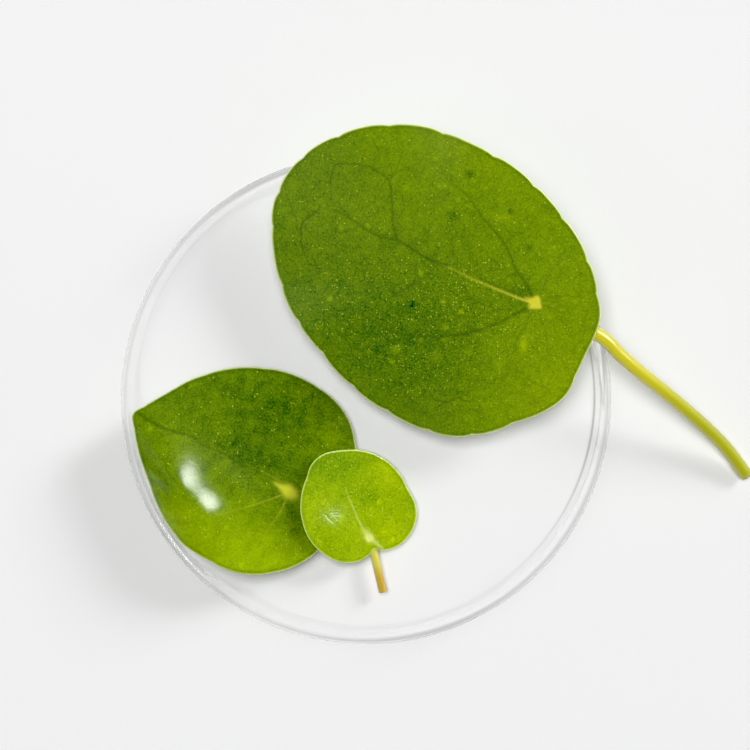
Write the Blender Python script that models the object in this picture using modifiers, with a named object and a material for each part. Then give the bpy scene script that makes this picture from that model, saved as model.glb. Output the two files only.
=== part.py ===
"""Clear glass culture dish holding three cut round leaves, each a blade with its own stalk.

Units are metres, +Z is up, and the origin is the centre of the dish's flat underside.
Seen from above, +X is to the right and +Y is up. The large leaf lies across the rim with its
stalk running down to the table; the middle leaf leans up the left wall from the floor of the
dish; the small leaf lies on the middle leaf's right edge with its stalk on the floor.
"""
import math
from dataclasses import dataclass

import bmesh
import bpy
import numpy as np
from mathutils import Vector

MM = 0.001

# The dish is a straight-walled 100 mm culture dish.
DISH_RADIUS = 50.0 * MM
DISH_HEIGHT = 16.0 * MM
DISH_WALL = 1.45 * MM
DISH_FLOOR = 1.8 * MM
DISH_FOOT_ROUND = 1.0 * MM
DISH_CORNER_ROUND = 2.4 * MM
DISH_STEPS = 96

# Leaf blades are one fleshy sheet, and its ring positions are shares of the way to the margin.
BLADE_THICKNESS = 0.8 * MM
BLADE_RINGS = (1.0, 0.9, 0.74, 0.52, 0.27, 0.0)
STALK_SIDES_EACH_QUARTER = 2
STALK_POINTS = 5

# Pieces that rest on each other keep this much clear. A level blade lying on the floor of the
# dish has its upper face at LYING_TOP, here in millimetres like the other leaf measures.
REST_GAP = 0.3 * MM
LYING_TOP = (DISH_FLOOR + REST_GAP + BLADE_THICKNESS) / MM

# The large blade is a tilted sheet: its height at the middle, its rise for each millimetre
# towards +X and +Y, and how far its margin droops.
LARGE_HEIGHT = 18.45
LARGE_RISE = (0.184, 0.226)
LARGE_DROOP = 1.0

# The middle blade lies level at its right edge and then climbs to the lower left at a steady
# slope, measured uphill from its stalk. Below its main vein it swells, and its left margin droops.
MIDDLE_UPHILL = (-0.90, -0.43)
MIDDLE_CLIMB_START = -8.5
MIDDLE_CLIMB_BEND = 3.5
MIDDLE_CLIMB_SLOPE = 0.31
MIDDLE_DROOP_START = 20.0
MIDDLE_DROOP = 0.035
MIDDLE_SWELL_MIDDLE = (-36.9, -18.2)
MIDDLE_SWELL_HEIGHT = 1.0
MIDDLE_SWELL_LENGTH = 9.0
MIDDLE_SWELL_WIDTH = 5.0
MIDDLE_CLEARANCE = 0.95

# The small blade is a dished ramp whose lowest line lies at its right margin.
SMALL_LOW_LINE = 13.2
SMALL_CURVE = 0.011
SMALL_LEAN = -0.03
SMALL_CLEARANCE = 0.6
SMALL_CREASE_BEARING = -72.0
SMALL_CREASE_WIDTH = 14.0
SMALL_CREASE_DEPTH = 0.5

COLLECTION_NAME = "leaves_in_glass_dish"
CUTTERS_NAME = "leaf_stalks"


@dataclass(frozen=True)
class Leaf:
    """One leaf: the outline of its blade, and its stalk.

    Plan places are in millimetres from the dish's axis. reach lists (bearing in degrees,
    millimetres from the blade's middle to the margin), and notches lists the bearings where
    two shallow scallops meet. stalk_route runs from the blade to the cut end, with a height
    at every point.
    """

    name: str
    middle: tuple
    reach: tuple
    notches: tuple
    notch_depth: float
    sectors: int
    colour: tuple
    attachment: tuple
    stalk_radius: float
    stalk_route: tuple


LARGE = Leaf(
    name="large_leaf",
    middle=(14.0, 24.0),
    reach=((0, 32.0), (14, 30.1), (30, 28.3), (60, 27.8), (75, 28.5), (97, 31.7), (120, 35.2),
           (140, 37.3), (152, 36.9), (170, 33.5), (190, 30.3), (212, 27.5), (225, 27.3),
           (250, 28.5), (280, 32.3), (300, 33.4), (319, 35.2), (333, 33.8), (348, 33.8)),
    notches=(8, 27, 45, 66, 88, 107, 124, 137, 150, 161, 181, 196, 212, 232, 250, 268, 284, 299,
             326, 356),
    notch_depth=0.35,
    sectors=96,
    colour=(0.16, 0.30, 0.01),
    attachment=(33.3, 19.8),
    stalk_radius=1.42,
    stalk_route=((36.2, 18.5, 17.95), (47.2, 13.6, 17.85), (55.8, 5.7, 15.5), (64.8, -1.2, 11.0),
                 (74.1, -10.0, 5.4), (79.8, -17.0, 1.42)),
)
MIDDLE = Leaf(
    name="middle_leaf",
    middle=(-25.0, -15.0),
    reach=((0, 23.2), (28, 23.9), (60, 22.4), (90, 21.5), (120, 22.0), (135, 22.9), (146, 24.6),
           (152, 25.9), (158, 24.3), (170, 21.8), (182, 20.0), (195, 19.2), (212, 19.0),
           (228, 19.3), (242, 19.3), (270, 21.0), (300, 22.3), (330, 22.7)),
    notches=(15, 48, 80, 112, 152, 188, 222, 250, 285, 320),
    notch_depth=0.12,
    sectors=72,
    colour=(0.10, 0.24, 0.01),
    attachment=(-14.2, -19.2),
    stalk_radius=1.1,
    stalk_route=((-13.3, -21.2, 3.55), (-12.2, -23.8, 3.3), (-10.8, -26.6, 3.25)),
)
SMALL = Leaf(
    name="small_leaf",
    middle=(-1.5, -22.0),
    reach=((0, 11.9), (12, 11.0), (32, 10.6), (60, 10.7), (90, 11.2), (108, 11.8), (128, 12.9),
           (140, 12.9), (152, 12.3), (170, 12.1), (195, 12.2), (225, 12.5), (255, 12.6),
           (272, 11.9), (283, 10.9), (289, 10.2), (296, 11.0), (312, 12.2), (338, 12.7)),
    notches=(20, 62, 100, 150, 195, 240, 289, 325),
    notch_depth=0.08,
    sectors=60,
    colour=(0.27, 0.47, 0.01),
    attachment=(1.2, -29.9),
    stalk_radius=0.88,
    stalk_route=((1.6, -31.8, 3.1), (2.2, -34.2, 3.02), (2.9, -37.4, 3.02), (3.7, -40.7, 3.02)),
)


def large_height(x, y, share):
    """Height of the large blade's upper face: a tilted sheet with a drooping, waved margin."""
    dx, dy = x - LARGE.middle[0], y - LARGE.middle[1]
    bearing = np.arctan2(dy, dx)
    tilt = LARGE_HEIGHT + LARGE_RISE[0] * dx + LARGE_RISE[1] * dy
    ripple = 0.35 * np.cos(5.0 * bearing + 0.6) + 0.2 * np.cos(9.0 * bearing)
    return tilt - LARGE_DROOP * share ** 2 + ripple * share ** 3


def middle_height(x, y, share):
    """Height of the middle blade: low at its right edge, climbing to lean on the left wall."""
    dx, dy = x - MIDDLE.attachment[0], y - MIDDLE.attachment[1]
    uphill = MIDDLE_UPHILL[0] * dx + MIDDLE_UPHILL[1] * dy
    bend = (uphill - MIDDLE_CLIMB_START) / MIDDLE_CLIMB_BEND
    climb = MIDDLE_CLIMB_SLOPE * MIDDLE_CLIMB_BEND * np.logaddexp(0.0, bend)
    droop = MIDDLE_DROOP * np.maximum(uphill - MIDDLE_DROOP_START, 0.0) ** 2

    sx, sy = x - MIDDLE_SWELL_MIDDLE[0], y - MIDDLE_SWELL_MIDDLE[1]
    across = (sx * MIDDLE_UPHILL[0] + sy * MIDDLE_UPHILL[1]) / MIDDLE_SWELL_WIDTH
    along = (sx * MIDDLE_UPHILL[1] - sy * MIDDLE_UPHILL[0]) / MIDDLE_SWELL_LENGTH
    swell = MIDDLE_SWELL_HEIGHT * np.exp(-across ** 2 - along ** 2)

    bearing = np.arctan2(y - MIDDLE.middle[1], x - MIDDLE.middle[0])
    ripple = 0.12 * np.cos(4.0 * bearing + 1.0)
    lowest = LYING_TOP + MIDDLE_CLEARANCE
    return lowest + climb - droop + swell + ripple * share ** 3


def small_height(x, y, share):
    """Height of the small blade: left edge over the middle leaf, right edge near the floor."""
    dx, dy = x - SMALL.middle[0], y - SMALL.middle[1]
    off_crease = (np.degrees(np.arctan2(dy, dx)) - SMALL_CREASE_BEARING) / SMALL_CREASE_WIDTH
    crease = SMALL_CREASE_DEPTH * np.exp(-off_crease ** 2)
    lowest = LYING_TOP + SMALL_CLEARANCE
    return lowest + SMALL_CURVE * (dx - SMALL_LOW_LINE) ** 2 + SMALL_LEAN * dy - crease * share ** 2


def between(stations, degrees):
    """For bearings on a closed ring of stations: the stations before and after, and how far on."""
    start = (np.searchsorted(stations, degrees, side="right") - 1) % len(stations)
    end = (start + 1) % len(stations)
    width = (stations[end] - stations[start]) % 360.0
    return start, end, ((degrees - stations[start]) % 360.0) / width, width


def reach_at(leaf, degrees):
    """Distance from the blade's middle to its margin, by a closed cubic through leaf.reach."""
    degrees = np.asarray(degrees) % 360.0
    stations = np.array([station for station, _ in leaf.reach], dtype=float)
    lengths = np.array([length for _, length in leaf.reach], dtype=float)
    gap_after = (np.roll(stations, -1) - stations) % 360.0
    gap_before = np.roll(gap_after, 1)
    slope_after = (np.roll(lengths, -1) - lengths) / gap_after
    slope_before = np.roll(slope_after, 1)
    tangent = (slope_after * gap_before + slope_before * gap_after) / (gap_after + gap_before)

    start, end, t, width = between(stations, degrees)
    smooth = (lengths[start] * (1 + 2 * t) * (1 - t) ** 2 + lengths[end] * t * t * (3 - 2 * t)
              + width * tangent[start] * t * (1 - t) ** 2 - width * tangent[end] * t * t * (1 - t))
    along = between(np.array(leaf.notches, dtype=float), degrees)[2]
    return smooth - leaf.notch_depth * (2.0 * along - 1.0) ** 4


def add_to(collection, name, data):
    """New object holding data, linked into collection."""
    obj = bpy.data.objects.new(name, data)
    collection.objects.link(obj)
    return obj


def evaluated_mesh(obj):
    """Copy of the mesh that obj shows once its modifiers or bevel are worked out."""
    bpy.context.view_layer.update()
    depsgraph = bpy.context.evaluated_depsgraph_get()
    return bpy.data.meshes.new_from_object(obj.evaluated_get(depsgraph))


def turned(collection, name, profile, steps):
    """Object turned round the Z axis from a profile of (radius, height) points."""
    mesh = bpy.data.meshes.new(name)
    points = [(radius, 0.0, height) for radius, height in profile]
    mesh.from_pydata(points, [(i, i + 1) for i in range(len(points) - 1)], [])
    obj = add_to(collection, name, mesh)
    screw = obj.modifiers.new("turn", "SCREW")
    screw.axis = "Z"
    screw.steps = steps
    screw.render_steps = steps
    screw.use_merge_vertices = True
    screw.merge_threshold = 0.00001
    return obj


def arc(centre, radius, start, end, steps):
    """Points along an arc in the profile's plane, with its angles in degrees."""
    angles = [math.radians(start + (end - start) * i / steps) for i in range(steps + 1)]
    return [(centre[0] + radius * math.cos(a), centre[1] + radius * math.sin(a)) for a in angles]


def plain_material(name, colour, roughness, transmission=0.0):
    """Principled material with one colour."""
    material = bpy.data.materials.new(name)
    material.use_nodes = True
    shader = material.node_tree.nodes["Principled BSDF"]
    shader.inputs["Base Color"].default_value = (*colour, 1.0)
    shader.inputs["Roughness"].default_value = roughness
    shader.inputs["Metallic"].default_value = 0.0
    shader.inputs["Transmission Weight"].default_value = transmission
    return material


def dish_profile():
    """Section of the dish from the middle of its floor, up the inside, over the rim and down."""
    inner = DISH_RADIUS - DISH_WALL
    rim = 0.5 * DISH_WALL
    corner_centre = (inner - DISH_CORNER_ROUND, DISH_FLOOR + DISH_CORNER_ROUND)
    corner = arc(corner_centre, DISH_CORNER_ROUND, -90.0, 0.0, 4)
    top = arc((inner + rim, DISH_HEIGHT - rim), rim, 180.0, 0.0, 6)
    foot = arc((DISH_RADIUS - DISH_FOOT_ROUND, DISH_FOOT_ROUND), DISH_FOOT_ROUND, 0.0, -90.0, 3)
    return [(0.0, DISH_FLOOR)] + corner + top + foot + [(0.0, 0.0)]


def build_dish(collection):
    """Glass dish, one turned solid with a rounded rim and rounded corners."""
    dish = turned(collection, "glass_dish", dish_profile(), DISH_STEPS)
    dish.data.materials.append(plain_material("clear_glass", (0.95, 0.97, 0.97), 0.02, 1.0))
    return dish


def build_blade(collection, leaf, height):
    """Leaf blade: a turned disc drawn out to the leaf's outline and lifted to its height."""
    rings = [(share, 0.0) for share in BLADE_RINGS]
    disc = turned(collection, leaf.name + "_disc", rings, leaf.sectors)
    mesh = evaluated_mesh(disc)
    bpy.data.objects.remove(disc)

    points = np.empty(len(mesh.vertices) * 3)
    mesh.vertices.foreach_get("co", points)
    points = points.reshape(-1, 3)
    share = np.hypot(points[:, 0], points[:, 1])
    bearing = np.arctan2(points[:, 1], points[:, 0])
    reach = reach_at(leaf, np.degrees(bearing))
    points[:, 0] = leaf.middle[0] + share * reach * np.cos(bearing)
    points[:, 1] = leaf.middle[1] + share * reach * np.sin(bearing)
    points[:, 2] = height(points[:, 0], points[:, 1], share)
    mesh.vertices.foreach_set("co", (points * MM).ravel())

    bm = bmesh.new()
    bm.from_mesh(mesh)
    bmesh.ops.triangulate(bm, faces=bm.faces[:], quad_method="SHORT_EDGE")
    bmesh.ops.recalc_face_normals(bm, faces=bm.faces[:])
    if sum(face.normal.z for face in bm.faces) < 0.0:
        bmesh.ops.reverse_faces(bm, faces=bm.faces[:])
    bm.to_mesh(mesh)
    bm.free()
    mesh.shade_smooth()

    blade = add_to(collection, leaf.name, mesh)
    blade.data.materials.append(plain_material(leaf.name + "_green", leaf.colour, 0.45))
    solidify = blade.modifiers.new("thickness", "SOLIDIFY")
    solidify.thickness = BLADE_THICKNESS
    solidify.offset = -1.0
    return blade


def smooth_route(points, steps):
    """Points along a smooth curve through the given ones, with steps points for each stretch."""
    route = []
    for i in range(len(points) - 1):
        before = points[max(i - 1, 0)]
        start, end = points[i], points[i + 1]
        after = points[min(i + 2, len(points) - 1)]
        leave = (end - before) * 0.5
        arrive = (after - start) * 0.5
        for k in range(steps):
            t = k / steps
            route.append(start * (1 + 2 * t) * (1 - t) ** 2 + end * t * t * (3 - 2 * t)
                         + leave * t * (1 - t) ** 2 - arrive * t * t * (1 - t))
    return route + [points[-1]]


def stalk_points(leaf, height):
    """Stalk's centre line in millimetres, with its share of the full thickness as fourth value.

    It starts thin inside the blade, just behind the attachment, and swells out of the underside.
    """
    x, y = leaf.attachment
    top = float(height(np.array(x), np.array(y), np.array(0.5)))
    first = leaf.stalk_route[0]
    away = Vector((first[0] - x, first[1] - y)).normalized() * 1.5 * leaf.stalk_radius
    root = Vector((x - away.x, y - away.y, top - 0.5, 0.2))
    swell = Vector((x, y, top - 0.7 - 0.35 * leaf.stalk_radius, 0.7))
    route = [root, swell] + [Vector((*point, 1.0)) for point in leaf.stalk_route]
    return smooth_route(route, STALK_POINTS)


def build_stalk(collection, leaf, height):
    """Round stalk along its route, as a closed mesh to be joined to the blade."""
    points = stalk_points(leaf, height)
    curve = bpy.data.curves.new(leaf.name + "_stalk", "CURVE")
    curve.dimensions = "3D"
    curve.bevel_depth = leaf.stalk_radius * MM
    curve.bevel_resolution = STALK_SIDES_EACH_QUARTER
    curve.use_fill_caps = True
    spline = curve.splines.new("POLY")
    spline.points.add(len(points) - 1)
    for spot, point in zip(spline.points, points):
        spot.co = (point.x * MM, point.y * MM, point.z * MM, 1.0)
        spot.radius = point.w
    tube = add_to(collection, leaf.name + "_tube", curve)

    mesh = evaluated_mesh(tube)
    bpy.data.objects.remove(tube)
    bm = bmesh.new()
    bm.from_mesh(mesh)
    bmesh.ops.remove_doubles(bm, verts=bm.verts[:], dist=0.00001)
    bmesh.ops.recalc_face_normals(bm, faces=bm.faces[:])
    bm.to_mesh(mesh)
    bm.free()
    mesh.shade_smooth()
    stalk = add_to(collection, leaf.name + "_stalk", mesh)
    stalk.hide_render = True
    stalk.display_type = "WIRE"
    return stalk


def build_leaf(collection, cutters, leaf, height):
    """One leaf: its blade with the stalk joined to it as a single solid."""
    blade = build_blade(collection, leaf, height)
    join = blade.modifiers.new("stalk", "BOOLEAN")
    join.operation = "UNION"
    join.solver = "EXACT"
    join.object = build_stalk(cutters, leaf, height)
    return blade


def new_collection(name):
    """New collection linked into the scene."""
    collection = bpy.data.collections.new(name)
    bpy.context.scene.collection.children.link(collection)
    return collection


def main():
    """Clear the scene and build the dish and its leaves."""
    for obj in list(bpy.data.objects):
        bpy.data.objects.remove(obj)
    collection = new_collection(COLLECTION_NAME)
    cutters = new_collection(CUTTERS_NAME)
    build_dish(collection)
    build_leaf(collection, cutters, LARGE, large_height)
    build_leaf(collection, cutters, MIDDLE, middle_height)
    build_leaf(collection, cutters, SMALL, small_height)


main()
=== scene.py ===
"""Clear glass culture dish with three cut round leaves: the visible model and its studio.

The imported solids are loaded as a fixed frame, and each one is replaced by a finer surface of the same form.
Everything is in metres with +Z up. The origin is the centre of the dish's flat underside. Leaf measures are
written in millimetres in plan, as they would be read off a ruler laid on the table.
"""
import logging
import math
from dataclasses import dataclass
from enum import Enum

import bpy
import numpy as np
from mathutils import Matrix, Vector


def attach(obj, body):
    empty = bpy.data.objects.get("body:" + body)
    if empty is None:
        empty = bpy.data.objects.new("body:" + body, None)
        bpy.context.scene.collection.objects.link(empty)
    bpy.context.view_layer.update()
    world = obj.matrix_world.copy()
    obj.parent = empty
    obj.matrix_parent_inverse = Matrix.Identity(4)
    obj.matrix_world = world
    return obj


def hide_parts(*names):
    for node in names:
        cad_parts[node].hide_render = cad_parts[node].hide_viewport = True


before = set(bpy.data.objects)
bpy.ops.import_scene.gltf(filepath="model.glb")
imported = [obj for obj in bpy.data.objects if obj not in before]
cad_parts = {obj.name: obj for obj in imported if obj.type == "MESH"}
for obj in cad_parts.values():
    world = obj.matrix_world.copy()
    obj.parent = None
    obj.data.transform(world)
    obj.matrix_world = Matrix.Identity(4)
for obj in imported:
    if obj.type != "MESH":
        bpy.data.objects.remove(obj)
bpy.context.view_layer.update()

log = logging.getLogger("leaf_dish")

MM = 0.001
ROOT_BODY = "root"


# Colours and shader nodes

def linear_colour(code: str) -> tuple[float, float, float, float]:
    """Turn an sRGB hex colour into the linear values that shaders use.

    Args:
        code: Six hex digits with a leading hash sign.

    Returns:
        Linear red, green and blue, and an alpha of 1.
    """
    values = [int(code[i:i + 2], 16) / 255.0 for i in (1, 3, 5)]
    low = [v / 12.92 if v <= 0.04045 else ((v + 0.055) / 1.055) ** 2.4 for v in values]
    return (low[0], low[1], low[2], 1.0)


def add_node(tree: bpy.types.NodeTree, kind: str, settings: dict | None = None,
             inputs: dict | None = None) -> bpy.types.Node:
    """Add one shader node.

    Args:
        tree: Node tree that the node goes in.
        kind: Blender's name for the kind of node.
        settings: Values of the node's own properties.
        inputs: For each input, by name or number, a plain value or the output that it takes.

    Returns:
        The new node.
    """
    node = tree.nodes.new(kind)
    for name, value in (settings or {}).items():
        setattr(node, name, value)
    for key, value in (inputs or {}).items():
        socket = node.inputs[key]
        if isinstance(value, bpy.types.NodeSocket):
            tree.links.new(value, socket)
        else:
            socket.default_value = value
    return node


def new_tree(material: bpy.types.Material) -> bpy.types.NodeTree:
    """Empty the node tree of a material.

    Args:
        material: The material.

    Returns:
        Its empty node tree.
    """
    material.use_nodes = True
    material.node_tree.nodes.clear()
    return material.node_tree


# Surfaces

@dataclass
class Shell:
    """Grids of points that together make one closed skin. Points closer than weld, in metres, are one."""

    grids: list
    weld: float = 1e-8

    def add(self, points: np.ndarray, wrap: bool = False) -> None:
        """Add a grid of points.

        Args:
            points: Array of rows, columns and x, y, z.
            wrap: Join the last column to the first.
        """
        if wrap:
            points = np.concatenate([points, points[:, :1]], axis=1)
        self.grids.append(points)

    def mesh(self, name: str) -> bpy.types.Mesh:
        """Join the grids where their points meet, and make a mesh of triangles that face outwards.

        Each grid cell gives two triangles. Points that meet become one, and triangles that this closes, at
        a pole or a seam, are dropped. The enclosed volume, which is a sixth of the sum of every triangle's
        triple product, is negative if the skin is inside out.

        Args:
            name: Name of the mesh.

        Returns:
            The new mesh.
        """
        points, corners, first = [], [], 0
        for grid in self.grids:
            rows, columns = grid.shape[:2]
            index = first + np.arange(rows * columns).reshape(rows, columns)
            a, b = index[:-1, :-1].ravel(), index[1:, :-1].ravel()
            c, d = index[1:, 1:].ravel(), index[:-1, 1:].ravel()
            corners += [np.stack([a, b, c], 1), np.stack([a, c, d], 1)]
            points.append(grid.reshape(-1, 3))
            first += rows * columns
        every = np.concatenate(points)
        keys = np.round(every / self.weld).astype(np.int64)
        _, kept, merged = np.unique(keys, axis=0, return_index=True, return_inverse=True)
        every = every[kept]
        faces = merged.ravel()[np.concatenate(corners)]
        closed = (faces[:, 0] == faces[:, 1]) | (faces[:, 1] == faces[:, 2]) | (faces[:, 2] == faces[:, 0])
        faces = faces[~closed]
        corner = every[faces]
        if np.einsum("ij,ij->", corner[:, 0], np.cross(corner[:, 1], corner[:, 2])) < 0.0:
            faces = faces[:, ::-1]
        mesh = bpy.data.meshes.new(name)
        mesh.from_pydata(every, [], faces)
        mesh.shade_smooth()
        return mesh


def vertex_places(mesh: bpy.types.Mesh) -> np.ndarray:
    """Read the places of a mesh's points.

    Args:
        mesh: The mesh.

    Returns:
        Array of points in metres.
    """
    places = np.empty(len(mesh.vertices) * 3)
    mesh.vertices.foreach_get("co", places)
    return places.reshape(-1, 3)


def set_mark(mesh: bpy.types.Mesh, name: str, values: np.ndarray) -> None:
    """Write one value for each point of a mesh, under a name that its finish reads."""
    mesh.attributes.new(name, "FLOAT", "POINT").data.foreach_set("value", values.astype(np.float32))


def arc(centre: tuple[float, float], radius: float, start: float, end: float, steps: int) -> np.ndarray:
    """Points along a circular arc.

    Args:
        centre: Centre of the circle.
        radius: Its radius.
        start: First angle in degrees.
        end: Last angle in degrees.
        steps: Number of stretches.

    Returns:
        Array of points in the plane.
    """
    angle = np.radians(np.linspace(start, end, steps + 1))
    return np.stack([centre[0] + radius * np.cos(angle), centre[1] + radius * np.sin(angle)], 1)


def smooth_route(points: np.ndarray, steps: int) -> np.ndarray:
    """Smooth curve through points.

    Each stretch is a cubic whose slope at a point is half the way from the point before to the one after.

    Args:
        points: Array of points, with any number of values each.
        steps: Number of places in each stretch.

    Returns:
        Array of places along the curve, with both ends.
    """
    before = np.concatenate([points[:1], points[:-2]])
    after = np.concatenate([points[2:], points[-1:]])
    start, end = points[:-1], points[1:]
    leave, arrive = (end - before) * 0.5, (after - start) * 0.5
    t = (np.arange(steps) / steps)[None, :, None]
    curve = (start[:, None] * (1 + 2 * t) * (1 - t) ** 2 + end[:, None] * t * t * (3 - 2 * t)
             + leave[:, None] * t * (1 - t) ** 2 - arrive[:, None] * t * t * (1 - t))
    return np.concatenate([curve.reshape(-1, points.shape[1]), points[-1:]])


def distance_to_route(x: np.ndarray, y: np.ndarray, route: np.ndarray) -> tuple[np.ndarray, np.ndarray]:
    """Distance in plan from each place to the nearest point of a line of short stretches.

    Args:
        x: Places across.
        y: Places up.
        route: Array of the line's points.

    Returns:
        The distance, and the share of the line's length at which the nearest point lies.
    """
    step = np.diff(route[:, :2], axis=0)
    length = np.hypot(step[:, 0], step[:, 1])
    start = np.concatenate([[0.0], np.cumsum(length)])
    nearest = np.full(x.shape, np.inf)
    share = np.zeros(x.shape)
    for i, (dx, dy) in enumerate(step):
        along = np.clip(((x - route[i, 0]) * dx + (y - route[i, 1]) * dy) / length[i] ** 2, 0.0, 1.0)
        away = np.hypot(x - route[i, 0] - along * dx, y - route[i, 1] - along * dy)
        closer = away < nearest
        nearest = np.where(closer, away, nearest)
        share = np.where(closer, (start[i] + along * length[i]) / start[-1], share)
    return nearest, share


def soft_step(values: np.ndarray, low: float, high: float) -> np.ndarray:
    """Rise smoothly from 0 at low to 1 at high."""
    t = np.clip((values - low) / (high - low), 0.0, 1.0)
    return t * t * (3.0 - 2.0 * t)


# Finishes

class Mark(Enum):
    """The marks that a leaf's mesh carries for its finish."""

    TONE_AND_SHADE = "tone"
    VEIN = "vein"
    PALE = "pale"
    # Painted glow: a paler band along the margin, in place of light that shines through the thin edge.
    RIM_GLOW = "rim"
    PORE = "pore"
    STALK = "stalk"
    STALK_RUN = "stalk_run"
    CUT = "cut"


@dataclass(frozen=True)
class ClearGlass:
    """Borosilicate glass, blown and fire polished: colourless, with bright and dark lines at its bends.

    Lamp light and the soft light off the table go through it straight, a little dimmed where they graze it,
    so that it throws the faint shadow of real glass. The mark named bend paints shade into the glass's
    colour: it darkens the lines where the rim and the foot turn, a painted shade in place of the light that
    these bends turn away, which a picture of this size is too coarse to resolve from the bending alone.
    Glass that lets out also lets light that was bent inside the wall leave it straight, which keeps the wall
    clear.
    """

    name: str = "clear_borosilicate_glass"
    tint: str = "#FFFFFF"
    # Colour of the painted shade along the bends.
    painted_bend_shade_tint: str = "#101212"
    ior: float = 1.47
    roughness: float = 0.0
    straight: float = 1.0
    grazing: float = 0.75
    graze_power: float = 5.0
    lets_out: bool = False

    @staticmethod
    def gray(value: float) -> tuple[float, float, float, float]:
        """Make a colourless colour."""
        return (value, value, value, 1.0)

    def make(self) -> bpy.types.Material:
        """Make the material.

        Returns:
            The glass.
        """
        material = bpy.data.materials.new(self.name)
        tree = new_tree(material)
        # The bend mark paints shade into the glass's colour: dark lines at the rim and the inner corner.
        bend = add_node(tree, "ShaderNodeAttribute", {"attribute_name": "bend"}).outputs["Fac"]
        tint = add_node(tree, "ShaderNodeMix", {"data_type": "RGBA"}, {
            "Factor": bend, "A": linear_colour(self.tint), "B": linear_colour(self.painted_bend_shade_tint)})
        glass = add_node(tree, "ShaderNodeBsdfPrincipled", inputs={
            "Base Color": tint.outputs["Result"], "Roughness": self.roughness, "IOR": self.ior,
            "Transmission Weight": 1.0})
        facing = add_node(tree, "ShaderNodeLayerWeight", inputs={"Blend": 0.5}).outputs["Facing"]
        graze = add_node(tree, "ShaderNodeMath", {"operation": "POWER"}, {0: facing, 1: self.graze_power})
        dimmed = add_node(tree, "ShaderNodeMix", {"data_type": "RGBA"}, {
            "Factor": graze.outputs[0], "A": self.gray(self.straight), "B": self.gray(self.grazing)})
        clear = add_node(tree, "ShaderNodeBsdfTransparent", inputs={"Color": dimmed.outputs["Result"]})
        path = add_node(tree, "ShaderNodeLightPath")
        lamp = add_node(tree, "ShaderNodeMixShader", inputs={
            0: path.outputs["Is Shadow Ray"], 1: glass.outputs["BSDF"], 2: clear.outputs["BSDF"]})
        table = add_node(tree, "ShaderNodeMixShader", inputs={
            0: path.outputs["Is Diffuse Ray"], 1: lamp.outputs["Shader"], 2: clear.outputs["BSDF"]})
        surface = table
        if self.lets_out:
            surface = add_node(tree, "ShaderNodeMixShader", inputs={
                0: path.outputs["Is Singular Ray"], 1: table.outputs["Shader"], 2: clear.outputs["BSDF"]})
        add_node(tree, "ShaderNodeOutputMaterial", inputs={"Surface": surface.outputs["Shader"]})
        return material


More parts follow.
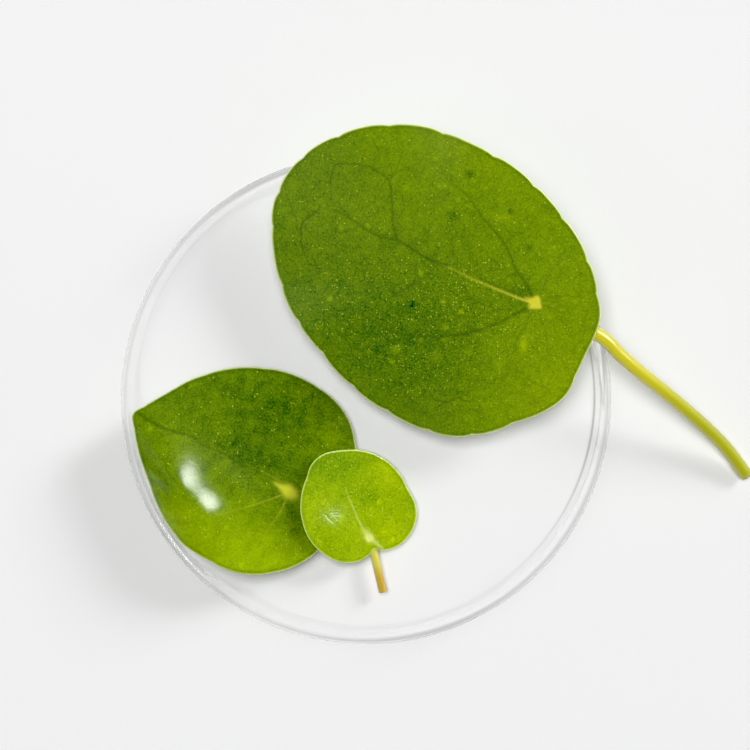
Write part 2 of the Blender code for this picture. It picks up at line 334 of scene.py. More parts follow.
@dataclass(frozen=True)
class FreshLeaf:
    """Fresh waxy leaf: fleshy green tissue under a thin glossy skin.

    Light goes some way into the tissue, which makes thin margins glow. The skin is finely grained, with
    scattered pale pores, and its wax gives soft highlights where the blade turns to the light. A real leaf's
    cells are about 0.05 mm wide and its pores about 0.1 mm. A pixel of the picture is 0.2 mm, so the grain
    and the pores are drawn as coarse as they need to be to show. The net is the mesh of finest veins, and
    the blotches are paler spots of tissue. Both keep the spacing of real ones.
    """

    name: str
    deep: str
    bright: str
    vein: str
    pale: str
    # Colour of the painted glow along the margin.
    rim: str
    stalk_near: str
    stalk_far: str
    cut: str
    pore: str = "#C2D23C"
    roughness: float = 0.3
    roughness_spread: float = 0.06
    stalk_roughness: float = 0.34
    ior: float = 1.5
    glow: float = 0.12
    glow_depth: float = 0.3 * MM
    glow_colours: tuple = (1.0, 1.2, 0.2)
    grain_width: float = 0.36 * MM
    grain_share: float = 2.0
    relief: float = 0.02 * MM
    cloud_width: float = 2.5 * MM
    cloud_share: float = 0.8
    pore_spacing: float = 0.5 * MM
    pore_radius: float = 0.27
    blotch_spacing: float = 2.6 * MM
    blotch_radius: float = 0.24
    blotch_chance: float = 0.8
    blotch_share: float = 0.9
    net_spacing: float = 2.4 * MM
    net_bend: float = 1.2 * MM
    net_line: float = 0.1
    net_share: float = 0.13

    @staticmethod
    def dots(tree: bpy.types.NodeTree, place: bpy.types.NodeSocket, spacing: float, radius: float,
             chance: bpy.types.NodeSocket) -> bpy.types.NodeSocket:
        """Scatter soft dots of uneven strength, one in each chosen cell of a loose pattern.

        Args:
            tree: Node tree that the pattern goes in.
            place: Place on the leaf.
            spacing: Usual distance from one cell to the next, in metres.
            radius: Radius of a dot, as a share of that distance.
            chance: Share of the cells that hold a dot.

        Returns:
            Strength of the dots at each place.
        """
        cells = add_node(tree, "ShaderNodeTexVoronoi", {}, {
            "Vector": place, "Scale": 1.0 / spacing, "Randomness": 1.0})
        draw = add_node(tree, "ShaderNodeSeparateColor", {}, {0: cells.outputs["Color"]})
        dot = add_node(tree, "ShaderNodeMapRange", {"interpolation_type": "SMOOTHSTEP"}, {
            "Value": cells.outputs["Distance"], "From Min": radius * 1.5, "From Max": radius * 0.5})
        chosen = add_node(tree, "ShaderNodeMath", {"operation": "LESS_THAN"}, {0: draw.outputs[0], 1: chance})
        strength = dot.outputs[0]
        for factor in (chosen.outputs[0], draw.outputs[1]):
            strength = add_node(tree, "ShaderNodeMath", {"operation": "MULTIPLY"}, {
                0: strength, 1: factor}).outputs[0]
        return strength

    def tissue(self, tree: bpy.types.NodeTree, place: bpy.types.NodeSocket, grain: bpy.types.NodeSocket,
               marks: dict) -> bpy.types.NodeSocket:
        """Mix the green of the tissue, from deep where its tone is 0 to bright where it is 1.

        The mesh's tone, which in a few ovals holds painted shade, is moved up and down by the grain and by
        soft clouds, lowered along the net and raised in the blotches.

        Args:
            tree: Node tree that the pattern goes in.
            place: Place on the leaf.
            grain: Height of the grain.
            marks: Output of each mark.

        Returns:
            Colour of the tissue.
        """
        cloud = add_node(tree, "ShaderNodeTexNoise", {}, {
            "Vector": place, "Scale": 1.0 / self.cloud_width, "Detail": 3.0, "Roughness": 0.5})
        tone = marks[Mark.TONE_AND_SHADE]
        for noise, share in ((grain, self.grain_share), (cloud.outputs["Fac"], self.cloud_share)):
            swing = add_node(tree, "ShaderNodeMath", {"operation": "SUBTRACT"}, {0: noise, 1: 0.5})
            tone = add_node(tree, "ShaderNodeMath", {"operation": "MULTIPLY_ADD"}, {
                0: swing.outputs[0], 1: share, 2: tone}).outputs[0]

        bent = add_node(tree, "ShaderNodeVectorMath", {"operation": "MULTIPLY_ADD"}, {
            0: cloud.outputs["Color"], 1: (self.net_bend,) * 3, 2: place})
        edges = add_node(tree, "ShaderNodeTexVoronoi", {"feature": "DISTANCE_TO_EDGE"}, {
            "Vector": bent.outputs[0], "Scale": 1.0 / self.net_spacing, "Randomness": 1.0})
        net = add_node(tree, "ShaderNodeMapRange", {"interpolation_type": "SMOOTHSTEP"}, {
            "Value": edges.outputs["Distance"], "From Min": 0.0, "From Max": self.net_line,
            "To Min": self.net_share, "To Max": 0.0})
        netted = add_node(tree, "ShaderNodeMath", {"operation": "SUBTRACT"}, {0: tone, 1: net.outputs[0]})

        chance = add_node(tree, "ShaderNodeMath", {"operation": "MULTIPLY"}, {
            0: marks[Mark.PORE], 1: self.blotch_chance})
        blotches = self.dots(tree, place, self.blotch_spacing, self.blotch_radius, chance.outputs[0])
        blotched = add_node(tree, "ShaderNodeMath", {"operation": "MULTIPLY_ADD"}, {
            0: blotches, 1: self.blotch_share, 2: netted.outputs[0]})
        return add_node(tree, "ShaderNodeMix", {"data_type": "RGBA", "clamp_factor": False}, {
            "Factor": blotched.outputs[0], "A": linear_colour(self.deep),
            "B": linear_colour(self.bright)}).outputs["Result"]

    def make(self) -> bpy.types.Material:
        """Make the material.

        The marks that follow the blade's shape (tone, vein, pale, rim, pore and stalk) are attributes of
        the mesh. The tone holds painted shade in a few ovals, and the rim is a painted glow along the margin.
        The grain, the net and the pores are patterns in the object's own coordinates.

        Returns:
            The leaf's skin.
        """
        material = bpy.data.materials.new(self.name)
        tree = new_tree(material)
        place = add_node(tree, "ShaderNodeTexCoord").outputs["Object"]
        marks = {mark: add_node(tree, "ShaderNodeAttribute", {
            "attribute_name": mark.value}).outputs["Fac"] for mark in Mark}
        grain = add_node(tree, "ShaderNodeTexNoise", {}, {
            "Vector": place, "Scale": 1.0 / self.grain_width, "Detail": 2.0, "Roughness": 0.6}).outputs["Fac"]
        colour = self.tissue(tree, place, grain, marks)

        stem = linear_colour(self.stalk_near)
        for mask, code in ((marks[Mark.STALK_RUN], self.stalk_far), (marks[Mark.CUT], self.cut)):
            stem = add_node(tree, "ShaderNodeMix", {"data_type": "RGBA"}, {
                "Factor": mask, "A": stem, "B": linear_colour(code)}).outputs["Result"]
        pores = self.dots(tree, place, self.pore_spacing, self.pore_radius, marks[Mark.PORE])
        # The rim glow layer is painted light along the margin.
        layers = ((pores, linear_colour(self.pore)), (marks[Mark.VEIN], linear_colour(self.vein)),
                  (marks[Mark.PALE], linear_colour(self.pale)), (marks[Mark.RIM_GLOW], linear_colour(self.rim)),
                  (marks[Mark.STALK], stem))
        for mask, above in layers:
            colour = add_node(tree, "ShaderNodeMix", {"data_type": "RGBA"}, {
                "Factor": mask, "A": colour, "B": above}).outputs["Result"]

        bump = add_node(tree, "ShaderNodeBump", {}, {
            "Height": grain, "Distance": self.relief, "Strength": 1.0})
        rough = add_node(tree, "ShaderNodeMapRange", {}, {
            "Value": grain, "To Min": self.roughness - self.roughness_spread,
            "To Max": self.roughness + self.roughness_spread})
        rough = add_node(tree, "ShaderNodeMix", {"data_type": "FLOAT"}, {
            "Factor": marks[Mark.STALK], "A": rough.outputs[0], "B": self.stalk_roughness})
        skin = add_node(tree, "ShaderNodeBsdfPrincipled", {}, {
            "Base Color": colour, "Roughness": rough.outputs["Result"], "IOR": self.ior,
            "Coat Weight": marks[Mark.STALK], "Coat Roughness": self.stalk_roughness,
            "Subsurface Weight": self.glow, "Subsurface Radius": self.glow_colours,
            "Subsurface Scale": self.glow_depth, "Normal": bump.outputs["Normal"]})
        add_node(tree, "ShaderNodeOutputMaterial", inputs={"Surface": skin.outputs["BSDF"]})
        return material


@dataclass(frozen=True)
class TableTop:
    """Matt white laminate: plain and pale, with no pattern to see."""

    name: str = "matt_white_laminate"
    colour: str = "#EFEFEF"
    roughness: float = 0.9

    def make(self) -> bpy.types.Material:
        """Make the material.

        Returns:
            The table's white.
        """
        material = bpy.data.materials.new(self.name)
        tree = new_tree(material)
        white = add_node(tree, "ShaderNodeBsdfPrincipled", inputs={
            "Base Color": linear_colour(self.colour), "Roughness": self.roughness,
            "Specular IOR Level": 0.0})
        add_node(tree, "ShaderNodeOutputMaterial", inputs={"Surface": white.outputs["BSDF"]})
        return material


# The dish

@dataclass(frozen=True)
class Stretch:
    """Part of a line that runs round the dish: its middle and width as bearings in degrees, its strength."""

    middle: float
    width: float
    strength: float

    def at(self, bearing: np.ndarray) -> np.ndarray:
        """Strength at each bearing, by a bell along the bearing."""
        off = (bearing - self.middle + 180.0) % 360.0 - 180.0
        return self.strength * np.exp(-(off / self.width) ** 2)


@dataclass(frozen=True)
class GlassDish:
    """Straight-walled culture dish, 100 mm across, turned round the Z axis.

    The rim, band, crest and corner fields from rim_heights on place the painted dark lines of its bends, in
    millimetres: painted shade in place of the light that the bends turn away. Each line has a range or a
    middle and a half width, and the stretches where it is strongest.
    """

    node: str = "glass_dish"
    slot: str = "clear_glass"
    radius: float = 50.0 * MM
    height: float = 16.0 * MM
    wall: float = 1.45 * MM
    wall_from: float = 5.0 * MM
    wall_to: float = 14.8 * MM
    wall_steps: int = 12
    floor: float = 1.8 * MM
    foot_round: float = 1.0 * MM
    foot_steps: int = 12
    corner_round: float = 2.4 * MM
    corner_steps: int = 16
    rim_steps: int = 20
    segments: int = 288
    rim_heights: tuple = (14.9, 15.3)
    band_radii: tuple = (48.5, 48.9)
    band_least: float = 0.1
    band_stretches: tuple = (Stretch(-30.0, 40.0, 0.16), Stretch(-72.0, 16.0, 0.22),
                             Stretch(115.0, 18.0, 0.4))
    crest_radius: float = 49.1
    crest_width: float = 0.16
    crest_least: float = 0.1
    crest_stretches: tuple = (Stretch(-85.0, 24.0, 0.35),)
    corner_radius: float = 47.9
    corner_width: float = 0.2
    corner_heights: tuple = (1.0, 5.0)
    corner_stretches: tuple = (Stretch(-4.0, 34.0, 0.8), Stretch(135.0, 22.0, 0.15))

    def section(self) -> np.ndarray:
        """Radius and height along the section, from the middle of the floor over the rim to the underside.

        Returns:
            Array of (radius, height) points.
        """
        inner, rim = self.radius - self.wall, 0.5 * self.wall
        straight = np.linspace(self.wall_from, self.wall_to, self.wall_steps)
        return np.concatenate([
            [[0.0, self.floor], [0.5 * inner, self.floor]],
            arc((inner - self.corner_round, self.floor + self.corner_round), self.corner_round, -90.0, 0.0,
                self.corner_steps),
            np.stack([np.full(self.wall_steps, inner), straight], 1),
            arc((inner + rim, self.height - rim), rim, 180.0, 0.0, self.rim_steps),
            [[self.radius, 0.5 * self.height]],
            arc((self.radius - self.foot_round, self.foot_round), self.foot_round, 0.0, -90.0,
                self.foot_steps),
            [[0.5 * inner, 0.0], [0.0, 0.0]],
        ])

    def build(self) -> bpy.types.Object:
        """Turn the section round the axis: each of its points goes once round a circle of its own radius.

        Returns:
            The dish.
        """
        section = self.section()
        angle = np.linspace(0.0, 2.0 * math.pi, self.segments, endpoint=False)
        radius, height = section[:, :1], section[:, 1:]
        flat = np.zeros((1, self.segments))
        shell = Shell([])
        shell.add(np.stack([radius * np.cos(angle), radius * np.sin(angle), height + flat], 2), wrap=True)
        mesh = shell.mesh("glass_dish_turned")
        # Painted shade: the bend mark darkens the glass at the rim and the inner corner.
        set_mark(mesh, "bend", self.bend(vertex_places(mesh)))
        dish = place_piece("glass_dish_turned", mesh, ClearGlass().make(), self.node)
        mesh.materials.append(ClearGlass(name="clear_borosilicate_glass_outside", lets_out=True).make())
        mesh.polygons.foreach_set("material_index", self.outside(mesh).astype(np.int32))
        return dish

    @staticmethod
    def outside(mesh: bpy.types.Mesh) -> np.ndarray:
        """Tell the faces that look away from the axis or down from the rest.

        Args:
            mesh: The dish's mesh.

        Returns:
            For each face, whether it is one of them.
        """
        middle, normal = np.empty(len(mesh.polygons) * 3), np.empty(len(mesh.polygons) * 3)
        mesh.polygons.foreach_get("center", middle)
        mesh.polygons.foreach_get("normal", normal)
        middle, normal = middle.reshape(-1, 3), normal.reshape(-1, 3)
        away = np.einsum("ij,ij->i", middle[:, :2], normal[:, :2]) / np.hypot(middle[:, 0], middle[:, 1])
        return (away > 0.02) | (normal[:, 2] < -0.5)

    def bend(self, points: np.ndarray) -> np.ndarray:
        """How much painted shade darkens the glass at its bends, in place of light that the bends turn away.

        A band runs round the rim, with a thin line at its crest, and another thin line in the inner corner
        at the foot of the wall. Each one's strength swells and fades round the dish.

        Args:
            points: Array of points in metres.

        Returns:
            The mark at each point.
        """
        x, y, z = points.T / MM
        radius, bearing = np.hypot(x, y), np.degrees(np.arctan2(y, x))
        band, crest, corner = (sum(stretch.at(bearing) for stretch in stretches) for stretches in (
            self.band_stretches, self.crest_stretches, self.corner_stretches))
        off_crest, off_corner = radius - self.crest_radius, radius - self.corner_radius
        band = (band + self.band_least) * soft_step(radius, *self.band_radii)
        crest = (crest + self.crest_least) * np.exp(-(off_crest / self.crest_width) ** 2)
        corner = corner * np.exp(-(off_corner / self.corner_width) ** 2)
        rim = soft_step(z, *self.rim_heights)
        wall = (z > self.corner_heights[0]) & (z < self.corner_heights[1])
        return np.clip(np.maximum(band, crest) * rim + corner * wall, 0.0, 1.0)


def place_piece(name: str, mesh: bpy.types.Mesh, material: bpy.types.Material, node: str) -> bpy.types.Object:
    """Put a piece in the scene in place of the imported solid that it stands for.

    Args:
        name: Name of the piece.
        mesh: Its mesh, in place.
        material: Its finish.
        node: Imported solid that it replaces.

    Returns:
        The piece.
    """
    mesh.materials.clear()
    mesh.materials.append(material)
    piece = bpy.data.objects.new(name, mesh)
    bpy.context.scene.collection.objects.link(piece)
    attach(piece, ROOT_BODY)
    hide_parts(node)
    log.info("%s: %d triangles", name, len(mesh.polygons))
    return piece


# The leaves

@dataclass(frozen=True)
class Vein:
    """One vein of a blade, from its root to its far end, in millimetres.

    width is half the width of the line at its root. groove, dark and pale say how deep it is pressed in and
    how strongly it shows there, and far is the share of all these that is left at the far end. taper is the
    share of its width that it loses by then, and fade the share of its length over which it dies away.
    """

    route: tuple
    width: float = 0.26
    groove: float = 0.05
    dark: float = 0.68
    pale: float = 0.0
    far: float = 0.6
    taper: float = 0.45
    fade: float = 0.12


@dataclass(frozen=True)
class Patch:
    """A soft oval on a blade: its middle and half sizes in millimetres, turn in degrees and strength."""

    middle: tuple
    size: tuple
    turn: float
    strength: float

    def at(self, x: np.ndarray, y: np.ndarray) -> np.ndarray:
        """Strength at each place: a bell that falls off with the oval's own distance.

        Args:
            x: Places across.
            y: Places up.

        Returns:
            The oval's strength there.
        """
        cosine, sine = math.cos(math.radians(self.turn)), math.sin(math.radians(self.turn))
        dx, dy = x - self.middle[0], y - self.middle[1]
        along, across = dx * cosine + dy * sine, dy * cosine - dx * sine
        return self.strength * np.exp(-(along / self.size[0]) ** 2 - (across / self.size[1]) ** 2)


def ovals(*rows: tuple) -> tuple:
    """Make a soft oval of each row, which gives its middle, half sizes, turn and strength."""
    return tuple(Patch(*row) for row in rows)


def sum_patches(patches: tuple, x: np.ndarray, y: np.ndarray) -> np.ndarray:
    """Add up soft ovals.

    Args:
        patches: The ovals.
        x: Places across.
        y: Places up.

    Returns:
        Their strengths' sum at each place.
    """
    total = np.zeros(np.shape(x))
    for patch in patches:
        total = total + patch.at(x, y)
    return total


# A point belongs to the stalk within these many of its radii from the centre line, in plan and above it, and
# this far under the blade, in millimetres. One past the last share of the stalk's length is on its cut end.
STALK_REACH = 1.2
STALK_TOP = 1.15
BLADE_SLACK = 0.12
CUT_RUN = 0.99999


@dataclass(frozen=True)
class Leaf:
    """One leaf: a blade drawn out from a disc to its own outline, and a round stalk under it.

    Lengths are in millimetres and bearings in degrees.

    reach: the margin, as bearings from the blade's middle and distances there.
    notches: the bearings where two shallow scallops meet.
    stalk_route: the stalk's centre line, from under the blade to the cut end.
    root_back, root_depth, root_swell: where the stalk begins inside the blade, as radii behind the attachment
    and a depth, and the share of its full thickness that it has there.
    neck_depth, neck_swell: its depth and its share at the attachment.
    cut_round, cut_hollow: how far the cut end's edge is rounded and its middle is sunk.
    ripples, stalk_ridges: for the waves round the margin and round the stalk, the number, height and phase.
    lining: a thin darker line along the margin, as its depth inside, its half width and its strength.
    patch_sums: the sums of pale ovals where their mark begins and where it is full.
    stalk_runs: the shares of the stalk's length where its colour begins to change and where it has changed.
    """

    node: str
    slot: str
    finish: FreshLeaf
    middle: tuple
    reach: tuple
    notches: tuple
    notch_depth: float
    attachment: tuple
    stalk_radius: float
    stalk_route: tuple
    veins: tuple
    tone: float
    # Ovals that move the tone: most are the leaf's own tone, a few are painted shade.
    tone_and_shade_patches: tuple
    relief_patches: tuple
    pore_patches: tuple
    pale_patches: tuple
    pore_share: float
    grid_steps: int
    ripples: tuple = ()
    vein_steps: int = 6
    stalk_steps: int = 22
    stalk_sides: int = 40
    stalk_ridges: tuple = ((7.0, 0.012, 0.0), (11.0, 0.008, 1.0))
    root_back: float = 1.5
    root_depth: float = 0.5
    root_swell: float = 0.2
    neck_depth: float = 0.7
    neck_swell: float = 0.7
    cut_round: float = 0.12
    cut_hollow: float = 0.05
    # Strength and width of the painted glow along the margin.
    rim_glow_strength: float = 0.8
    rim_glow_width: float = 0.3
    lining: tuple = (0.62, 0.2, 0.35)
    patch_strength: float = 0.9
    patch_sums: tuple = (0.1, 0.8)
    stalk_runs: tuple = (0.4, 0.8)
    thickness: float = 0.8
    margin_thickness: float = 0.5
    margin_band: float = 3.0
    edge_steps: int = 6
    underside_rings: tuple = (1.0, 0.985, 0.965, 0.94, 0.9, 0.85, 0.79, 0.72, 0.63, 0.53, 0.42, 0.31,
                              0.2, 0.1, 0.0)

    def height(self, x: np.ndarray, y: np.ndarray, share: np.ndarray) -> np.ndarray:
        """Height of the blade's upper face. Each leaf has its own form."""
        raise NotImplementedError

    def ripple(self, dx: np.ndarray, dy: np.ndarray) -> np.ndarray:
        """Waves round the margin: each one's height times the cosine of so many times the bearing."""
        bearing = np.arctan2(dy, dx)
        return sum(height * np.cos(count * bearing + phase) for count, height, phase in self.ripples)

    def reach_at(self, bearing: np.ndarray) -> np.ndarray:
        """Distance from the middle to the margin, by a closed cubic through the stations of reach.

        Between two notches the margin bulges: it falls back by the notch depth times the fourth power of how
        far a bearing is from the scallop's middle.

        Args:
            bearing: Bearings in radians.

        Returns:
            Distances in millimetres.
        """
        degrees = np.degrees(bearing) % 360.0
        stations, lengths = (np.array(column, dtype=float) for column in zip(*self.reach))
        gap_after = (np.roll(stations, -1) - stations) % 360.0
        gap_before = np.roll(gap_after, 1)
        slope_after = (np.roll(lengths, -1) - lengths) / gap_after
        slope_before = np.roll(slope_after, 1)
        tangent = (slope_after * gap_before + slope_before * gap_after) / (gap_after + gap_before)
        start, end, t, width = self.between(stations, degrees)
        smooth = (lengths[start] * (1 + 2 * t) * (1 - t) ** 2 + lengths[end] * t * t * (3 - 2 * t)
                  + width * tangent[start] * t * (1 - t) ** 2 - width * tangent[end] * t * t * (1 - t))
        along = self.between(np.array(self.notches, dtype=float), degrees)[2]
        return smooth - self.notch_depth * (2.0 * along - 1.0) ** 4

    @staticmethod
    def between(stations: np.ndarray, degrees: np.ndarray) -> tuple:
        """Find where bearings lie on a closed ring of stations.

        Args:
            stations: The stations' bearings in degrees, rising.
            degrees: Bearings to find, in degrees.

        Returns:
            The stations before and after, the share of the way from one to the other, and how far apart
            they are.
        """
        start = (np.searchsorted(stations, degrees, side="right") - 1) % len(stations)
        end = (start + 1) % len(stations)
        width = (stations[end] - stations[start]) % 360.0
        return start, end, ((degrees - stations[start]) % 360.0) / width, width

    def vein_routes(self) -> list:
        """Smooth route of each vein, with the vein."""
        return [(vein, smooth_route(np.array(vein.route), self.vein_steps)) for vein in self.veins]

    def near_vein(self, vein: Vein, route: np.ndarray, x: np.ndarray,
                  y: np.ndarray) -> tuple[np.ndarray, np.ndarray, np.ndarray]:
        """Find the places that a vein may touch.

        Args:
            vein: The vein.
            route: Its smooth route.
            x: Places across.
            y: Places up.

        Returns:
            Which places lie near it, and for those a bell across the vein and the strength along it.
        """
        margin = 5.0 * vein.width
        low, high = route.min(0) - margin, route.max(0) + margin
        near = (x > low[0]) & (x < high[0]) & (y > low[1]) & (y < high[1])
        away, share = distance_to_route(x[near], y[near], route)
        width = vein.width * (1.0 - vein.taper * share)
        ends = soft_step(1.0 - share, 0.0, vein.fade)
        return near, np.exp(-(away / width) ** 2), (1.0 + (vein.far - 1.0) * share) * ends

    def upper(self, x: np.ndarray, y: np.ndarray, share: np.ndarray) -> np.ndarray:
        """Upper face with its relief: the plain form, less the veins' grooves, plus soft swells and dents.

        Args:
            x: Places across.
            y: Places up.
            share: Share of the way from the middle to the margin.

        Returns:
            Heights in millimetres.
        """
        z = self.height(x, y, share) + sum_patches(self.relief_patches, x, y)
        for vein, route in self.vein_routes():
            near, bell, strength = self.near_vein(vein, route, x, y)
            z[near] -= vein.groove * bell * strength
        return z

    def blade(self) -> bpy.types.Mesh:
        """Closed skin of the blade.

        The upper face is a square grid laid on a disc, so its cells are all nearly one size: a point (u, v)
        of the square goes to (u * sqrt(1 - v * v / 2), v * sqrt(1 - u * u / 2)). The margin is half a circle
        in section. The underside is rings round the middle.

        Returns:
            The mesh, in metres.
        """
        line = np.linspace(-1.0, 1.0, self.grid_steps + 1)
        u, v = np.meshgrid(line, line, indexing="ij")
        across, upward = u * np.sqrt(1.0 - 0.5 * v * v), v * np.sqrt(1.0 - 0.5 * u * u)
        share, bearing = np.hypot(across, upward), np.arctan2(upward, across)
        quarters = 0.5 * math.pi * np.arange(4)[:, None]
        ring = (quarters + np.arcsin(line[:-1] * math.sqrt(0.5))).ravel()

        edge = 0.5 * self.margin_thickness
        shell = Shell([])
        shell.add(self.lay(bearing, share * (self.reach_at(bearing) - edge), 0.0))
        reach = self.reach_at(ring)[None, :] - edge
        turn = np.linspace(0.0, math.pi, self.edge_steps + 1)[:, None]
        band = self.lay(np.broadcast_to(ring, (self.edge_steps + 1, ring.size)),
                        np.broadcast_to(reach, (self.edge_steps + 1, ring.size)), 0.0)
        out = edge * np.sin(turn)
        band[..., 0] += out * np.cos(ring) * MM
        band[..., 1] += out * np.sin(ring) * MM
        band[..., 2] -= edge * (1.0 - np.cos(turn)) * MM
        shell.add(band, wrap=True)
        rings = np.array(self.underside_rings)[:, None]
        below = np.broadcast_to(ring, (rings.size, ring.size))
        shell.add(self.lay(below, rings * reach, 1.0), wrap=True)
        return shell.mesh(self.node + "_blade")

    def lay(self, bearing: np.ndarray, radius: np.ndarray, under: float) -> np.ndarray:
        """Points of the blade at given bearings and distances from its middle.

        Args:
            bearing: Bearings in radians.
            radius: Distances in millimetres.
            under: 0 for the upper face and 1 for the underside.

        Returns:
            Array of points in metres.
        """
        x = self.middle[0] + radius * np.cos(bearing)
        y = self.middle[1] + radius * np.sin(bearing)
        reach = self.reach_at(bearing)
        z = self.upper(x, y, radius / reach)
        inside = soft_step(reach - 0.5 * self.margin_thickness - radius, 0.0, self.margin_band)
        thick = self.margin_thickness + (self.thickness - self.margin_thickness) * inside
        return np.stack([x, y, z - under * thick], -1) * MM

    def stalk_line(self) -> np.ndarray:
        """Centre line of the stalk in millimetres, with its share of the full thickness as fourth value.

        It starts thin inside the blade, just behind the attachment, and swells out of the underside.

        Returns:
            Array of places along the line.
        """
        x, y = self.attachment
        top = float(self.height(np.array(x), np.array(y), np.array(0.5)))
        first = np.array(self.stalk_route[0])
        away = first[:2] - (x, y)
        away = away / np.hypot(*away) * self.root_back * self.stalk_radius
        neck = top - self.neck_depth - 0.5 * self.neck_swell * self.stalk_radius
        points = [(x - away[0], y - away[1], top - self.root_depth, self.root_swell),
                  (x, y, neck, self.neck_swell)]
        points += [(*point, 1.0) for point in self.stalk_route]
        return smooth_route(np.array(points), self.stalk_steps)

    def stalk(self) -> bpy.types.Mesh:
        """Closed skin of the stalk: a circle with faint ridges carried along the centre line.

        The cut end is flat with a small rounded edge. At each place the circle lies square to the line's
        direction, between a level side vector and one square to both.

        Returns:
            The mesh, in metres.
        """
        line = self.stalk_line()
        centre, swell = line[:, :3], line[:, 3]
        forward = np.gradient(centre, axis=0)
        forward /= np.linalg.norm(forward, axis=1, keepdims=True)
        level = np.cross(forward, (0.0, 0.0, 1.0))
        level /= np.linalg.norm(level, axis=1, keepdims=True)
        upright = np.cross(level, forward)
        bend = self.cut_round
        turn = np.radians([30.0, 60.0, 90.0])
        end_radius = np.concatenate([self.stalk_radius - bend * (1.0 - np.cos(turn)),
                                     [0.5 * self.stalk_radius, 0.0]])
        end_step = np.concatenate([bend * np.sin(turn), [bend, bend - self.cut_hollow]])
        centre = np.concatenate([centre[:1], centre, centre[-1] + (end_step[:, None] - bend) * forward[-1]])
        radius = np.concatenate([[0.0], swell * self.stalk_radius, end_radius])
        level = np.concatenate([level[:1], level, np.repeat(level[-1:], len(end_step), 0)])
        upright = np.concatenate([upright[:1], upright, np.repeat(upright[-1:], len(end_step), 0)])
        angle = np.linspace(0.0, 2.0 * math.pi, self.stalk_sides, endpoint=False)
        ridges = 1.0 + sum(size * np.cos(count * angle + phase) for count, size, phase in self.stalk_ridges)
        across = (radius[:, None] * np.cos(angle) * ridges)[..., None] * level[:, None]
        upward = (radius[:, None] * np.sin(angle) * ridges)[..., None] * upright[:, None]
        shell = Shell([])
        shell.add((centre[:, None] + across + upward) * MM, wrap=True)
        return shell.mesh(self.node + "_stalk")

    def marks(self, points: np.ndarray) -> dict:
        """Work out the marks that the finish reads, from where each point lies.

        Args:
            points: Array of points in millimetres.

        Returns:
            For each mark, its value at each point.
        """
        x, y, z = points.T
        dx, dy = x - self.middle[0], y - self.middle[1]
        radius = np.hypot(dx, dy)
        reach = self.reach_at(np.arctan2(dy, dx))
        share = radius / reach
        inside = reach - radius

        line = self.stalk_line()
        away, run = distance_to_route(x, y, line[:, :2])
        length = np.concatenate([[0.0], np.cumsum(np.hypot(*np.diff(line[:, :2], axis=0).T))])
        stalk_top = np.interp(run, length / length[-1], line[:, 2]) + STALK_TOP * self.stalk_radius
        below = self.height(x, y, np.minimum(share, 1.0)) - z
        free = (below > self.thickness + BLADE_SLACK) | (inside < 0)
        on_stalk = (away < STALK_REACH * self.stalk_radius) & (z < stalk_top) & free

        vein, pale = np.zeros(x.shape), np.zeros(x.shape)
        for part, route in self.vein_routes():
            near, bell, strength = self.near_vein(part, route, x, y)
            vein[near] = np.maximum(vein[near], part.dark * bell * strength)
            pale[near] = np.maximum(pale[near], part.pale * bell * strength)
        patch = self.patch_strength * soft_step(sum_patches(self.pale_patches, x, y), *self.patch_sums)
        depth, width, strength = self.lining
        lining = strength * np.exp(-((inside - depth) / width) ** 2)
        return {
            Mark.TONE_AND_SHADE: self.tone + sum_patches(self.tone_and_shade_patches, x, y),
            Mark.VEIN: np.maximum(vein, lining) * (below < 0.5 * self.thickness),
            Mark.PALE: np.clip(np.maximum(pale, patch), 0.0, 1.0),
            # The rim glow is painted light: a paler band along the margin.
            Mark.RIM_GLOW: self.rim_glow_strength * (1.0 - soft_step(inside, 0.15 * self.rim_glow_width, self.rim_glow_width)),
            Mark.PORE: self.pore_share + sum_patches(self.pore_patches, x, y),
            Mark.STALK: on_stalk.astype(float),
            Mark.STALK_RUN: soft_step(run, *self.stalk_runs),
            Mark.CUT: (run > CUT_RUN).astype(float),
        }

    def build(self) -> bpy.types.Object:
        """Join the stalk to the blade, mark the skin and place the leaf.

        Returns:
            The leaf.
        """
        blade = bpy.data.objects.new(self.node + "_blade", self.blade())
        stalk = bpy.data.objects.new(self.node + "_stalk", self.stalk())
        for part in (blade, stalk):
            bpy.context.scene.collection.objects.link(part)
        join = blade.modifiers.new("stalk", "BOOLEAN")
        join.operation = "UNION"
        join.solver = "MANIFOLD"
        join.object = stalk
        bpy.context.view_layer.update()
        mesh = bpy.data.meshes.new_from_object(blade.evaluated_get(bpy.context.evaluated_depsgraph_get()))
        for part in (blade, stalk):
            bpy.data.objects.remove(part)
        mesh.name = self.node + "_grown"
        mesh.shade_smooth()
        for mark, values in self.marks(vertex_places(mesh) / MM).items():
            set_mark(mesh, mark.value, values)
        return place_piece(self.node + "_grown", mesh, self.finish.make(), self.node)


@dataclass(frozen=True)
class LargeLeaf(Leaf):
    """The large round leaf that lies tilted across the rim."""

    lift: float = 18.45
    slope: tuple = (0.184, 0.226)
    droop: float = 1.0

    def height(self, x: np.ndarray, y: np.ndarray, share: np.ndarray) -> np.ndarray:
        """A tilted sheet whose margin droops by the square of the share, and waves with its third power.

        Args:
            x: Places across.
            y: Places up.
            share: Share of the way from the middle to the margin.

        Returns:
            Heights in millimetres.
        """
        dx, dy = x - self.middle[0], y - self.middle[1]
        tilt = self.slope[0] * dx + self.slope[1] * dy
        return self.lift + tilt - self.droop * share ** 2 + self.ripple(dx, dy) * share ** 3


